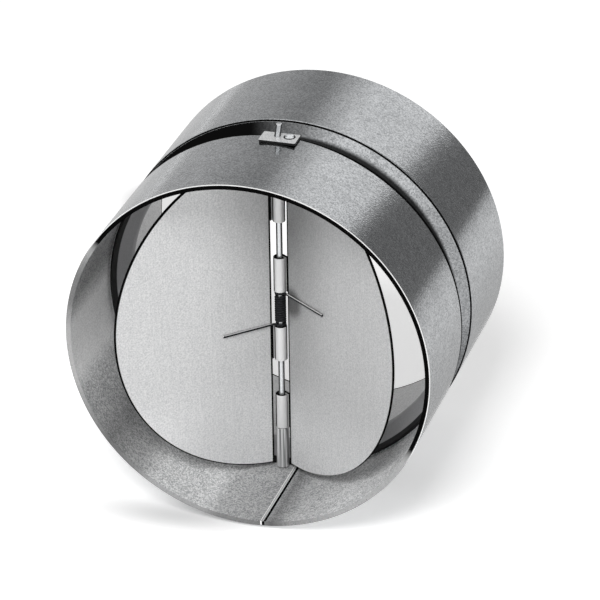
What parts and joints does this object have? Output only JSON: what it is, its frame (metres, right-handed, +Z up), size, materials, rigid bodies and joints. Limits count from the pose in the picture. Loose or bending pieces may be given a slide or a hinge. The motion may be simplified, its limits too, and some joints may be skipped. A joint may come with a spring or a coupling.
{
  "type": "back-draught damper",
  "caption": "Round sheet-metal duct damper: sprung half-disc blades on a common upright pin shut against a rolled rib.",
  "frame": {"origin": "on the duct axis, in the plane of the inlet spigot's mouth", "axes": "+Y along the duct axis out of the inlet spigot, against the air flow; +Z up along the hinge pin; +X to the right as seen from the outlet"},
  "size_m": [0.124, 0.0949, 0.1301],
  "materials": {
    "galvanised_steel": "hot-dip galvanised sheet, fine dull grain",
    "galvanised_steel_plate": "galvanised strip, cut and drilled",
    "seal_rubber": "matt black extruded rubber",
    "zinc_plated_steel": "bright zinc plate on drawn wire",
    "aluminium_tube": "drawn tube, satin",
    "aluminium_sheet": "mill finish sheet, even satin",
    "spring_steel": "drawn spring wire, dark grey"
  },
  "bodies": {
    "casing": {"casing": "galvanised_steel", "seal_ring": "seal_rubber", "hinge_pin": "zinc_plated_steel", "pin_retainer_plate": "galvanised_steel_plate", "retainer_rivet": "zinc_plated_steel", "upper_spacer_tube": "aluminium_tube", "lower_spacer_tube": "aluminium_tube", "spring_coil": "spring_steel"},
    "left_blade": {"left_blade": "aluminium_sheet", "spring_left_leg": "spring_steel"},
    "right_blade": {"right_blade": "aluminium_sheet", "spring_right_leg": "spring_steel"}
  },
  "joints": [
    {"name": "left_blade_hinge", "type": "hinge", "parent": "casing", "child": "left_blade", "pos_m": [0, -0.0564, 0], "axis": [0, 0, 1], "range_deg": [-42, 38], "stiffness_Nm_per_rad": 0.0012, "springref_deg": -80.21},
    {"name": "right_blade_hinge", "type": "hinge", "parent": "casing", "child": "right_blade", "pos_m": [0, -0.0564, 0], "axis": [0, 0, -1], "range_deg": [-36, 44], "stiffness_Nm_per_rad": 0.0012, "springref_deg": -73.91}
  ]
}
